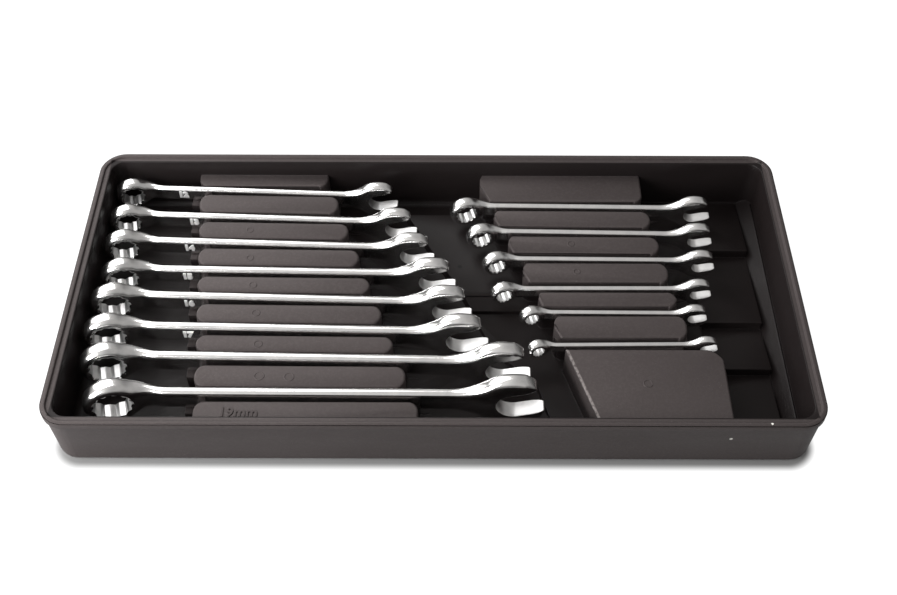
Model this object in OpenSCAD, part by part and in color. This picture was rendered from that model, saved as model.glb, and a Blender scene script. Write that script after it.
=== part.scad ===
// A moulded storage tray with a fitted set of fourteen combination spanners.
// Millimetres. X runs along the tray, Y from front to back, Z up from the base.

/* [Tray] */
// Length of the tray over its rim
tray_len = 420; // [414:1:450]
// Depth of the tray over its rim, front to back
tray_dep = 204; // [201:1:230]
// Height of the rim above the base
tray_h = 40; // [36:1:55]
// Corner radius of the rim
corner_r = 15; // [13:0.5:18]
// Width of the raised outer lip
lip_w = 3; // [2:0.25:4]
// Height of the lip above the ledge inside it
lip_h = 1.2; // [0.6:0.1:2.4]
// Width of the ledge inside the lip
ledge_w = 3.5; // [2:0.25:4.5]
// Height of the flange band round the outside of the rim
flange_h = 5; // [3:0.5:8]
// How far the flange stands out over the wall
flange_out = 1; // [0.5:0.25:2]
// Lean of the outer wall from the flange to the base
wall_lean = 1.3; // [0.5:0.1:2]
// Radius of the bottom outer edge
base_r = 5.5; // [3:0.5:7]
// Thickness of the floor
floor_t = 3; // [2:0.25:3]
// Radius where the floor meets the inner wall
cove_r = 4; // [2:0.5:5]
// Thickness of plastic over the hollow undersides
skin_t = 2.5; // [1.5:0.25:3]
// Thickness of the ribs under the shaft seats
rib_t = 2.5; // [1.5:0.25:4]

/* [Islands] */
// Height of the island tops above the base
island_z = 28; // [26:0.5:32]
// Clearance on each side of a shaft between two islands
slot_gap = 2; // [1.25:0.25:2.5]
// How far the seats of the left group stand out beyond the islands towards the rings
seat_lead = 6; // [0:0.5:8]
// Clearance along X from a shaft's seat to the spanner's necks
seat_gap = 0.5; // [0.25:0.25:2]
// Corner radius of the islands in plan
island_r = 6.5; // [3:0.5:7]
// Lean of the island sides
island_lean = 1; // [0.5:0.1:1.5]
// Chamfer along the top edges of the islands
island_edge = 0.8; // [0.3:0.1:1.5]
// Run of the sloping ring-side ends of the right-hand islands
slope_run = 5; // [2:0.5:8]
// Angle of those ends across the tray
slope_skew = 27; // [0:1:35]
// Angle of the long slanting end of the front right island
front_skew = 17.7; // [10:0.1:25]
// Cut across the back right corner of the front right island
front_cut = 15; // [8:1:20]

/* [Floor levels] */
// Height of the middle shelf between the two groups
shelf_z = 10; // [8:0.5:12]
// Height of its narrow middle step
shelf_mid_z = 9; // [7:0.5:11]
// Height of its front part
shelf_front_z = 6; // [5:0.5:8]
// Clearance from the spanner tips to the shelf
shelf_gap = 2.5; // [1.5:0.25:4]
// Lowest height of the ramps in the right-hand well
ramp_low = 4; // [3.5:0.25:6]
// Highest point of each ramp
ramp_high = 10; // [7:0.5:10.5]

/* [Spanners] */
// Height of the spanners' middle line above the base
axis_z = 24; // [23.75:0.25:27]
// Turn of the ring to the shaft
ring_turn = 15; // [0:1:15]
// Turn of the jaws to the shaft
jaw_turn = 15; // [0:1:22]
// Clearance of the jaws and the ring over the nominal size
jaw_gap = 0.15; // [0.05:0.05:0.4]
// Edge rounding of the rings as a share of their thickness
ring_round = 0.36; // [0.2:0.01:0.4]
// Edge rounding of the heads as a share of their thickness
head_round = 0.22; // [0.1:0.01:0.3]

/* [Hidden] */
$fn = 64;
// Rows from back to front: nominal size, gap from the end wall to the ring or the
// jaw tip, middle line of the shaft, turn in the slot, length over all
left_set = [
    [12, 1.5, 81.5, 2.4, 178.5],
    [13, 1.5, 58.5, 2.2, 191],
    [14, 2, 37, 2, 201.5],
    [15, 4.5, 15, 1.1, 212],
    [16, 2, -6, 1.6, 224],
    [17, 2, -28.5, 1.2, 233.5],
    [18, 4.5, -49.5, 1, 254.5],
    [19, 11, -73.5, 0.3, 254.5]
];
right_set = [
    [11, 32, 69, 0.7, 163],
    [10, 33.5, 47.5, 1, 151.5],
    [9, 35, 26, 0.5, 140.5],
    [8, 40, 3.5, -0.2, 131],
    [7, 45, -14.5, 0.3, 109.5],
    [6, 42, -37.5, -0.7, 109]
];
// Island ends on the left: the backmost island, then the step to each next one
left_start = 52.5;
left_start_step = 2.4;
left_end = 136;
left_end_step = 7.5;
// Island ends on the right, measured from the right-hand wall
right_start = 176;
right_start_step = 8.2;
right_end = 73.5;
right_end_step = 3.1;
// Ends of the front right island, measured from the right-hand wall
front_start = 130;
front_end = 40;
// Steps of the middle shelf and of the right-hand well, front to back
shelf_steps = [0, 11, 78];
ramp_steps = [-43, -9, 48];
// Edges of the right-hand well, measured from the right-hand wall
well_start = 46;
well_end = 9.5;
// Height of the sloping foot of the right-hand wall
kerb_h = 7;

// Inner faces of the wall at its top edge
inner_x = tray_len / 2 - lip_w - ledge_w;
inner_y = tray_dep / 2 - lip_w - ledge_w;
// Lean of the inner wall from the ledge to the floor
inner_lean = 0.8;
rim_chamfer = 0.5;
// Spare length on tools that cut right through
over = 1;
// Solid width kept at the foot of the walls beside the open undersides
foot_w = 2;

// The layout above reaches from wall to wall with this room, and follows the tray's own size
set_gap = 11.5;
back_room = 14;
front_row = left_set[len(left_set) - 1];
stretch = 2 * inner_x / (front_row[1] + front_row[4] + set_gap + front_start);
spread = inner_y / (left_set[0][2] + back_room);
left_rows = [for (r = left_set) [r[0], r[1] * stretch, r[2] * spread, r[3], r[4] * stretch]];
right_rows = [for (r = right_set) [r[0], r[1] * stretch, r[2] * spread, r[3], r[4] * stretch]];
well_x0 = inner_x - well_start * stretch;
well_x1 = inner_x - well_end * stretch;

// Proportions of a spanner by its nominal size
function ring_d(s) = 1.5 * s + 2.6;
function ring_t(s) = 0.38 * s + 3.8;
function head_d(s) = 1.98 * s + 3.4;
function head_t(s) = 0.36 * s + 2.8;
function shaft_w(s) = 0.65 * s + 2.2;
function shaft_t(s) = 0.2 * s + 2;
// Straight length of a jaw past the round throat, and the tip's distance from it
function jaw_len(s) = 0.67 * s + 2.6;
function jaw_reach(s) = jaw_len(s) * cos(jaw_turn) + 0.75 * s * sin(jaw_turn);
function head_back(s) = 0.04 * s;
// How far the ring's centre stands to the front of the shaft's middle plane
function ring_shift(s) = 0.13 * s;
function seat_z(s) = axis_z - shaft_w(s) / 2;
// Length of the waisted neck between a shaft of half width h and a head of radius r
function neck_blend(r) = 1.3 * r;
function ring_neck_r(s) = 0.485 * ring_d(s);
function head_neck_r(s) = 0.48 * head_d(s);
function ring_neck_t(s) = 0.6 * ring_t(s);
function head_neck_t(s) = 0.8 * head_t(s);
function neck_reach(h, r) = sqrt(pow(r + neck_blend(r), 2) - pow(h + neck_blend(r), 2));

// Points along an arc, in steps of about six degrees
function arc(c, r, a0, a1) = let (n = max(2, ceil(abs(a1 - a0) / 6)))
    [for (i = [0 : n]) let (a = a0 + (a1 - a0) * i / n) [c[0] + r * cos(a), c[1] + r * sin(a)]];
function flipped(points) = [for (i = [len(points) - 1 : -1 : 0]) [points[i][0], -points[i][1]]];

// A rectangle with round corners, its middle at the origin
module round_rect(l, w, r) {
    square([l - 2 * r, w], center = true);
    square([l, w - 2 * r], center = true);
    for (x = [-1, 1], y = [-1, 1])
        translate([x * (l / 2 - r), y * (w / 2 - r)]) circle(r);
}

// A profile drawn in X and Z, carried along Y
module along_y(depth) {
    translate([0, depth / 2, 0]) rotate([90, 0, 0]) linear_extrude(depth) children();
}

// A profile drawn in Y and Z, carried along X
module along_x(length) {
    rotate([90, 0, 90]) linear_extrude(length) children();
}

// Section of the wall, outwards from the centre of a corner
module wall_section() {
    out = corner_r - flange_out;
    foot = out - wall_lean;
    inner = corner_r - lip_w - ledge_w;
    inner_foot = inner - inner_lean;
    ledge = tray_h - lip_h;
    polygon(concat(
        [[0, 0]],
        arc([foot - base_r, base_r], base_r, -90, 0),
        [[out, tray_h - flange_h], [corner_r, tray_h - flange_h]],
        [[corner_r, tray_h - rim_chamfer], [corner_r - rim_chamfer, tray_h]],
        [[corner_r - lip_w, tray_h], [corner_r - lip_w, ledge], [inner, ledge]],
        arc([inner_foot - cove_r, floor_t + cove_r], cove_r, 0, -90),
        [[0, floor_t]]
    ));
}

// The wall section carried once round the tray, with the floor inside it
module shell() {
    mid_x = tray_len / 2 - corner_r;
    mid_y = tray_dep / 2 - corner_r;
    for (side = [0, 1]) {
        for (flip = [0, 1])
            rotate(side * 180) mirror([flip, 0, 0]) translate([mid_x, mid_y, 0])
                rotate_extrude(angle = 90) wall_section();
        rotate(side * 180) translate([mid_x, 0, 0]) along_y(2 * mid_y) wall_section();
        rotate(90 + side * 180) translate([mid_y, 0, 0]) along_y(2 * mid_x) wall_section();
    }
    translate([-mid_x, -mid_y, 0]) cube([2 * mid_x, 2 * mid_y, floor_t]);
}

// Ring centre and jaw tip of a row, along X
function left_ring(row) = -inner_x + row[1] + ring_d(row[0]) / 2;
function left_tip(row) = -inner_x + row[1] + row[4];
function right_ring(row) = inner_x - row[1] - row[4] + ring_d(row[0]) / 2;

// Straight part of a shaft along X, between the two necks
function shaft_start(ring_x, row) =
    ring_x + neck_reach(shaft_w(row[0]) / 2, ring_neck_r(row[0]));
function shaft_end(ring_x, row) =
    ring_x + row[4] - ring_d(row[0]) / 2 - jaw_reach(row[0])
    - neck_reach(shaft_w(row[0]) / 2, head_neck_r(row[0]));

// Middle of the shaft along X, about which a spanner is turned in its slot
function shaft_mid(ring_x, row) = ring_x + row[4] / 2 - ring_d(row[0]) / 2;

// Edges of the slots, in front of and behind a row's shaft
function slot_half(row) = shaft_t(row[0]) / 2 + slot_gap;
function slot_front(row) = row[2] - slot_half(row);
function slot_back(row) = row[2] + slot_half(row);

// One island between two heights: drafted sides, chamfered top, round plan corners.
// It starts at x0 and ends at x1, between y0 and y1, and is turned about its middle.
// The left end can slope by run and be skewed across the tray.
module island(x0, x1, y0, y1, turn = 0, run = 0, skew = 0, inset = 0) {
    l = x1 - x0 - 2 * inset;
    w = y1 - y0 - 2 * inset;
    top = island_z - inset;
    side = w / 2 - island_lean;
    end = l / 2 - island_lean;
    edge = min(island_edge, side / 2);
    r = min(max(island_r - inset, 1), 0.98 * w / 2);
    // Foot and shoulder of the left end, from the island's own end
    foot = run == 0 ? 0 : -run;
    shoulder = run == 0 ? island_lean : 0;
    if (side > 0) translate([(x0 + x1) / 2, (y0 + y1) / 2, 0]) rotate(-turn) intersection() {
        linear_extrude(top) round_rect(l, w, r);
        translate([-l / 2, 0, 0]) along_x(l) polygon([
            [-w / 2, 0], [w / 2, 0], [side, top - edge], [side - edge, top],
            [edge - side, top], [-side, top - edge]
        ]);
        translate([-l / 2, 0, 0]) rotate(skew) along_y(4 * l) polygon([
            [foot, 0], [2 * l, 0], [2 * l, top], [shoulder + edge, top], [shoulder, top - edge]
        ]);
        along_y(3 * w) polygon([
            [-2 * l, 0], [l / 2, 0], [end, top - edge], [end - edge, top], [-2 * l, top]
        ]);
    }
}

// Ends of a seat: beside the islands, and clear of both necks
function seat_x0(x0, ring_x, row) = max(x0, shaft_start(ring_x, row) + seat_gap);
function seat_x1(x1, ring_x, row) = min(x1, shaft_end(ring_x, row) - seat_gap);

// The raised seat that a shaft's lower edge stands on, between two islands
module seat(x0, x1, row, mid_x) {
    w = 2 * slot_half(row) + 2 * island_lean;
    translate([mid_x, row[2], 0]) rotate(-row[3] / 2) translate([x0 - mid_x, -w / 2, 0])
        cube([x1 - x0, w, seat_z(row[0])]);
}

// The open space under an island and half of each seat beside it
module cell(x0, x1, y0, y1, low) {
    translate([x0 + skin_t, y0 + rib_t / 2, -over])
        cube([x1 - x0 - 2 * skin_t, y1 - y0 - rib_t, low - skin_t + over]);
}

// Ends of the islands of both groups, from back to front
function left_x0(i) = -inner_x + (left_start + i * left_start_step) * stretch;
function left_x1(i) = -inner_x + (left_end + i * left_end_step) * stretch;
function right_x0(i) = inner_x - (right_start - i * right_start_step) * stretch;
function right_x1(i) = inner_x - (right_end - i * right_end_step) * stretch;

// Front and back edges of island number i of a group, which the walls close at both ends
function island_y0(rows, i) = i == len(rows) ? -inner_y - 2 : slot_back(rows[i]);
function island_y1(rows, i) = i == 0 ? inner_y + 2 : slot_front(rows[i - 1]);
function island_turn(rows, i) = i == 0 || i == len(rows) ? 0 : (rows[i - 1][3] + rows[i][3]) / 4;

// The front right island: a broad block with a slanting left end and a cut corner
module front_island(inset = 0) {
    x0 = inner_x - front_start * stretch + inset;
    x1 = inner_x - front_end * stretch - inset;
    y0 = -inner_y - 2;
    y1 = slot_front(right_rows[len(right_rows) - 1]) - inset;
    cut = front_cut - 0.4 * inset;
    top = island_z - inset;
    lean = (y1 - y0) * tan(front_skew);
    intersection() {
        linear_extrude(top) polygon(concat(
            [[x0, y1], [x0 + lean, y0], [x1, y0]],
            arc([x1 - cut, y1 - cut], cut, 0, 90)
        ));
        translate([0, y1, 0]) rotate([90, 0, 0]) linear_extrude(y1 - y0) polygon([
            [x0 - lean, 0], [x1, 0], [x1 - island_lean, top - island_edge],
            [x1 - island_lean - island_edge, top], [x0 - lean, top]
        ]);
        along_x(x1 + inner_x) polygon([
            [y0, 0], [y1, 0], [y1 - island_lean, top - island_edge],
            [y1 - island_lean - island_edge, top], [y0, top]
        ]);
    }
}

module islands(inset = 0) {
    for (i = [0 : len(left_rows)])
        island(left_x0(i), left_x1(i), island_y0(left_rows, i), island_y1(left_rows, i),
            turn = island_turn(left_rows, i), inset = inset);
    for (i = [0 : len(right_rows) - 1])
        island(right_x0(i), right_x1(i), island_y0(right_rows, i), island_y1(right_rows, i),
            turn = island_turn(right_rows, i), run = slope_run, skew = slope_skew, inset = inset);
    front_island(inset);
}

// Both ends of seat number i of a group
function left_seat(i) = let (row = left_rows[i], ring_x = left_ring(row)) [
    seat_x0(left_x0(i + 1) - seat_lead, ring_x, row), seat_x1(left_x1(i), ring_x, row)
];
function right_seat(i) = let (row = right_rows[i], ring_x = right_ring(row)) [
    seat_x0(right_x0(i + 1) + slope_run, ring_x, row), seat_x1(right_x1(i), ring_x, row)
];

module seats() {
    for (i = [0 : len(left_rows) - 1])
        seat(left_seat(i)[0], left_seat(i)[1], left_rows[i],
            shaft_mid(left_ring(left_rows[i]), left_rows[i]));
    for (i = [0 : len(right_rows) - 1])
        seat(right_seat(i)[0], right_seat(i)[1], right_rows[i],
            shaft_mid(right_ring(right_rows[i]), right_rows[i]));
}

// The cells stop short of the islands' rounded corners
module cells() {
    past_corner = max(0, island_r - skin_t);
    for (i = [1 : len(left_rows) - 1])
        cell(max(left_x0(i) + past_corner, left_seat(i - 1)[0], left_seat(i)[0]),
            min(left_x1(i) - past_corner, left_seat(i - 1)[1], left_seat(i)[1]),
            left_rows[i][2], left_rows[i - 1][2],
            min(seat_z(left_rows[i][0]), seat_z(left_rows[i - 1][0])));
    for (i = [1 : len(right_rows) - 1])
        cell(max(right_x0(i) + slope_run + past_corner, right_seat(i - 1)[0], right_seat(i)[0]),
            min(right_x1(i) - past_corner, right_seat(i - 1)[1], right_seat(i)[1]),
            right_rows[i][2], right_rows[i - 1][2],
            min(seat_z(right_rows[i][0]), seat_z(right_rows[i - 1][0])));
}

// Levels of the middle shelf: front edge, back edge and height
function shelf_levels() = [
    [-inner_y - 2, shelf_steps[0] * spread, shelf_front_z],
    [shelf_steps[0] * spread, shelf_steps[1] * spread, shelf_mid_z],
    [shelf_steps[1] * spread, shelf_steps[2] * spread, shelf_z]
];

// The shelf's slanting left edge keeps clear of each jaw tip in turn, from back to front
function shelf_edge() = [
    for (row = left_rows) [left_tip(row) + shelf_gap, row[2]]
];

module shelf() {
    edge = shelf_edge();
    for (level = shelf_levels()) intersection() {
        translate([-inner_x, level[0], 0])
            cube([well_x0 + over + inner_x, level[1] - level[0], level[2]]);
        linear_extrude(2 * shelf_z) polygon(concat(
            [[edge[0][0], inner_y + 2]], edge, [[edge[len(edge) - 1][0], -inner_y - 2]],
            [[well_x0 + over, -inner_y - 2], [well_x0 + over, inner_y + 2]]
        ));
    }
}

// Strips of the shelf between the rows: left edge, front edge, back edge and height
function shelf_strips() = [
    for (i = [1 : len(left_rows)], level = shelf_levels())
    let (
        front = i == len(left_rows) ? -inner_y - 2 : left_rows[i][2],
        tip = i == len(left_rows) ? left_tip(left_rows[i - 1]) : left_tip(left_rows[i]),
        y0 = max(front, level[0]),
        y1 = min(left_rows[i - 1][2], level[1])
    )
    if (y1 > y0) [tip + shelf_gap, y0, y1, level[2]]
];

// Where the open space under a shelf strip ends, short of the right-hand islands beside it
function shelf_cell_end(y0, y1) = min(concat([well_x0], [
    for (i = [0 : len(right_rows)])
        if (island_y0(right_rows, i) < y1 + slot_gap && island_y1(right_rows, i) > y0 - slot_gap)
            i < len(right_rows) ? right_x0(i) - 2 * slope_run : inner_x - front_start * stretch
])) - rib_t;

module shelf_cells() {
    for (strip = shelf_strips()) {
        length = shelf_cell_end(strip[1], strip[2]) - strip[0] - skin_t;
        depth = strip[2] - strip[1] - 2 * skin_t;
        if (length > 3 * rib_t && depth > rib_t)
            translate([strip[0] + skin_t, strip[1] + skin_t, -over])
                cube([length, depth, strip[3] - skin_t + over]);
    }
}

// The ramps of the right-hand well climb towards the front and drop at each step
function ramp_ends() = concat([-inner_y - 2], ramp_steps * spread, [inner_y + 2]);
function ramp_z(y, y0, y1) = ramp_high + (ramp_low - ramp_high) * (y - y0) / (y1 - y0);

module ramps() {
    ends = ramp_ends();
    translate([well_x0, 0, 0]) along_x(well_x1 - well_x0) polygon(concat(
        [[ends[len(ends) - 1], 0], [ends[0], 0]],
        [for (i = [0 : len(ends) - 2], p = [[ends[i], ramp_high], [ends[i + 1], ramp_low]]) p]
    ));
    along_y(2 * inner_y + 4) polygon([
        [well_x1, 0], [inner_x + over, 0], [inner_x + over, floor_t + kerb_h],
        [inner_x - inner_lean - over, floor_t + kerb_h], [well_x1, ramp_low]
    ]);
}

module ramp_cells() {
    ends = ramp_ends();
    for (i = [0 : len(ends) - 2]) {
        y0 = ends[i] + skin_t;
        y1 = ends[i + 1] - skin_t;
        translate([well_x0 + skin_t, 0, 0])
            along_x(well_x1 - well_x0 - 2 * skin_t) polygon([
                [y0, -over], [y1, -over],
                [y1, ramp_z(y1, ends[i], ends[i + 1]) - skin_t],
                [y0, ramp_z(y0, ends[i], ends[i + 1]) - skin_t]
            ]);
    }
}

// The space inside the walls, rooted a little in the floor and in the walls
module cavity() {
    root = 1;
    translate([0, 0, floor_t - root]) linear_extrude(tray_h)
        round_rect(2 * (inner_x + root), 2 * (inner_y + root), corner_r - lip_w - ledge_w + root);
}

module tray() {
    color([0.17, 0.16, 0.16]) difference() {
        union() {
            shell();
            intersection() {
                cavity();
                union() {
                    shelf();
                    ramps();
                    seats();
                    islands();
                }
            }
        }
        intersection() {
            translate([0, 0, -over]) linear_extrude(tray_h)
                square(2 * [inner_x - foot_w, inner_y - foot_w], center = true);
            union() {
                translate([0, 0, -0.01]) islands(skin_t);
                cells();
                shelf_cells();
                ramp_cells();
            }
        }
    }
}

// A disc with rounded edges, its flat faces across Y
module forged_disc(d, t, edge) {
    rotate([90, 0, 0]) rotate_extrude() {
        translate([0, -t / 2]) square([d / 2 - edge, t]);
        translate([0, edge - t / 2]) square([d / 2, t - 2 * edge]);
        for (side = [-1, 1])
            translate([d / 2 - edge, side * (t / 2 - edge)]) circle(edge, $fn = 32);
    }
}

// The waisted stretch from a shaft of half width h to a round head of radius r, whose
// centre is at the origin. It points to -X. Its thickness grows from t0 to t1, and at the
// head it lies shift to one side.
module neck(h, r, t0, t1, shift = 0) {
    blend = neck_blend(r);
    reach = neck_reach(h, r);
    upper = arc([-reach, h + blend], blend, -90, -atan2(h + blend, reach));
    intersection() {
        along_y(2 * r) polygon(concat(upper, flipped(upper)));
        translate([0, 0, -r]) linear_extrude(2 * r) polygon([
            [-reach, -t0 / 2], [-r / 2, shift - t1 / 2], [0, shift - t1 / 2],
            [0, shift + t1 / 2], [-r / 2, shift + t1 / 2], [-reach, t0 / 2]
        ]);
    }
}

// A combination spanner on edge: ring centre at the origin, shaft along X
module spanner(s, length) {
    rr = ring_d(s) / 2;
    hr = head_d(s) / 2;
    w = shaft_w(s);
    t = shaft_t(s);
    mouth = s + jaw_gap;
    throat_x = length - rr - jaw_reach(s);
    ring_place = [0, -ring_shift(s), 0];
    points_d = mouth / cos(30);
    difference() {
        union() {
            translate(ring_place) rotate(ring_turn)
                forged_disc(ring_d(s), ring_t(s), ring_round * ring_t(s));
            mirror([1, 0, 0])
                neck(w / 2, ring_neck_r(s), t, ring_neck_t(s), -ring_shift(s));
            translate([rr, 0, 0]) along_x(throat_x - hr / 2 - rr) round_rect(t, w, 0.3 * t);
            translate([throat_x, 0, 0]) {
                rotate([0, -jaw_turn, 0]) intersection() {
                    translate([-head_back(s), 0, 0])
                        forged_disc(head_d(s), head_t(s), head_round * head_t(s));
                    translate([-2 * hr, -hr, -hr]) cube([2 * hr + jaw_len(s), 2 * hr, 2 * hr]);
                }
                neck(w / 2, head_neck_r(s), t, head_neck_t(s));
            }
        }
        // The mouth between the jaws, round at its throat
        translate([throat_x, 0, 0]) rotate([0, -jaw_turn, 0]) along_y(2 * head_t(s)) {
            circle(d = mouth);
            translate([0, -mouth / 2]) square([hr + s, mouth]);
        }
        // The twelve-point hole of the ring, opened a little at both faces
        translate(ring_place) rotate(ring_turn) {
            along_y(2 * ring_t(s)) for (turn = [0, 30])
                rotate(turn) circle(d = points_d, $fn = 6);
            for (side = [0, 180])
                rotate([90 + side, 0, 0]) translate([0, 0, ring_t(s) / 2 - 0.06 * s])
                    cylinder(h = 0.07 * s, d1 = points_d - 0.04 * s, d2 = points_d + 0.1 * s);
        }
    }
}

module placed_spanner(row, ring_x) {
    mid_x = shaft_mid(ring_x, row);
    color([0.78, 0.79, 0.82]) translate([mid_x, row[2], axis_z]) rotate(-row[3])
        translate([ring_x - mid_x, 0, 0]) spanner(row[0], row[4]);
}

module left_spanner(i) {
    placed_spanner(left_rows[i], left_ring(left_rows[i]));
}

module right_spanner(i) {
    placed_spanner(right_rows[i], right_ring(right_rows[i]));
}

tray();
left_spanner(0);  // spanner_12
left_spanner(1);  // spanner_13
left_spanner(2);  // spanner_14
left_spanner(3);  // spanner_15
left_spanner(4);  // spanner_16
left_spanner(5);  // spanner_17
left_spanner(6);  // spanner_18
left_spanner(7);  // spanner_19
right_spanner(0);  // spanner_11
right_spanner(1);  // spanner_10
right_spanner(2);  // spanner_09
right_spanner(3);  // spanner_08
right_spanner(4);  // spanner_07
right_spanner(5);  // spanner_06
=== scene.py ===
# %% [markdown]
# # A moulded tool tray and its fourteen combination spanners
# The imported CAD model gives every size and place. This script loads it as a fixed frame and dresses it:
# the tray gets soft moulded edges and a grained charcoal plastic, and each spanner becomes one smooth
# forging in polished chrome. Everything is in metres, in the CAD model's own frame: X along the tray,
# Y from front to back, Z up from the base. Shapes are worked out in millimetres and scaled at the end.

# %% Load the frame
import math

import bmesh
import bpy
import numpy as np
from mathutils import Matrix, Vector
from mathutils.geometry import delaunay_2d_cdt


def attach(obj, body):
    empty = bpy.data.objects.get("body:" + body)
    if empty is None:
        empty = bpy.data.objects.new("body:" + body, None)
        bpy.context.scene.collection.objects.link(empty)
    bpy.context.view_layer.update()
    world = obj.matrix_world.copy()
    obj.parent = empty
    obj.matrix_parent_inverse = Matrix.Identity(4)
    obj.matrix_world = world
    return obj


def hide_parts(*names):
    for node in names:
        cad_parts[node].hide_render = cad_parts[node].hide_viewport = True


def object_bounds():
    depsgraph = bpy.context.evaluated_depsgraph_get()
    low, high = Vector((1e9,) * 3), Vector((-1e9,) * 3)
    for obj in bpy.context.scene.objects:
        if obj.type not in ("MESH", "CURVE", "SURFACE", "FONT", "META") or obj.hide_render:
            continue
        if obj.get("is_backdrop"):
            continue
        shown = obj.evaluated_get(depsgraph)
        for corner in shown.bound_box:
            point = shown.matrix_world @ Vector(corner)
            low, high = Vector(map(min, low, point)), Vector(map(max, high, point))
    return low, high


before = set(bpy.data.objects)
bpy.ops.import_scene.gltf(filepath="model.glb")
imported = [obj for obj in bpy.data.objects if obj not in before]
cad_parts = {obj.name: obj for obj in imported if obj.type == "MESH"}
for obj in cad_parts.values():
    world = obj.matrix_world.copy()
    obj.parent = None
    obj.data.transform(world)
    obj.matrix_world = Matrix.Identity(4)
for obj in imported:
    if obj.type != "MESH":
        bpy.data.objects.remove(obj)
cad_box = [[float(v) for v in corner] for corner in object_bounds()]
MM = 0.001
print("CAD box in millimetres", [[round(v / MM, 2) for v in corner] for corner in cad_box])

# %% [markdown]
# ## Pieces
# Every new piece is a mesh whose points are already in their final place, so its object stays at the
# origin. One helper puts arrays of points and faces into Blender, and another hands the piece to the
# frame: what it rides on, its finish, and which CAD node it stands for, which is hidden.

# %% Making and registering a piece
def mesh_piece(name, points, faces, sharp_deg=None):
    """An object from an array of points in metres and a list of faces."""
    mesh = bpy.data.meshes.new(name)
    mesh.from_pydata(np.asarray(points, float).tolist(), [], faces)
    mesh.update()
    piece = bpy.data.objects.new(name, mesh)
    bpy.context.scene.collection.objects.link(piece)
    mesh.polygons.foreach_set("use_smooth", np.ones(len(mesh.polygons), bool))
    if sharp_deg:
        mesh.set_sharp_from_angle(angle=math.radians(sharp_deg))
    return piece


def as_mesh(holder):
    """The mesh of an object with its modifiers, or of a text, worked out once."""
    bpy.context.view_layer.update()
    return bpy.data.meshes.new_from_object(holder.evaluated_get(bpy.context.evaluated_depsgraph_get()))


def register(piece, finish, replaced=None):
    """The piece moves with the tray's one body and takes its finish."""
    piece.data.materials.clear()
    piece.data.materials.append(finish)
    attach(piece, "root")
    if replaced:
        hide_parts(replaced)


def join_meshes(parts):
    """One (points, faces) pair from several, with the face numbers moved along."""
    points, faces, start = [], [], 0
    for part_points, part_faces in parts:
        points.append(np.asarray(part_points, float))
        faces += [[start + i for i in face] for face in part_faces]
        start += len(part_points)
    return np.concatenate(points), faces


# %% [markdown]
# ## Materials as sums
# Shader maths reads best as ordinary sums. `Value` wraps a socket and turns each Python operator into a
# Math node, also when the plain number stands on the left.

# %% Values
class Value:
    """A number, colour or shader that varies over the surface: the output socket of a node."""

    def __init__(self, finish, socket):
        self.finish, self.socket = finish, socket

    def _math(self, operation, *terms):
        node = self.finish.node("ShaderNodeMath", {"operation": operation}, dict(enumerate(terms)))
        return Value(self.finish, node.outputs[0])

    def __add__(self, other):
        return self._math("ADD", self, other)

    def __mul__(self, other):
        return self._math("MULTIPLY", self, other)

    def __sub__(self, other):
        return self._math("SUBTRACT", self, other)

    def __rsub__(self, other):
        return self._math("SUBTRACT", other, self)

    def __truediv__(self, other):
        return self._math("DIVIDE", self, other)

    def __pow__(self, other):
        return self._math("POWER", self, other)

    __radd__, __rmul__ = __add__, __mul__

    def abs(self):
        """The value without its sign."""
        return self._math("ABSOLUTE", self)

    def most(self, other):
        """The greater of two values."""
        return self._math("MAXIMUM", self, other)

    def step(self, low, high, first=0.0, last=1.0):
        """first below low, last above high, and smooth between them. low may be the higher one."""
        node = self.finish.node("ShaderNodeMapRange", {"interpolation_type": "SMOOTHSTEP"},
                                {0: self, 1: low, 2: high, 3: first, 4: last})
        return Value(self.finish, node.outputs[0])


# %% [markdown]
# `Finish` builds a whole material, or the world, out of such values. Every node comes from its method
# `node`, which takes the node's type, its settings and what its sockets hold: plain values, or links.
# The other methods only give the nodes that are used most a short name.

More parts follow.
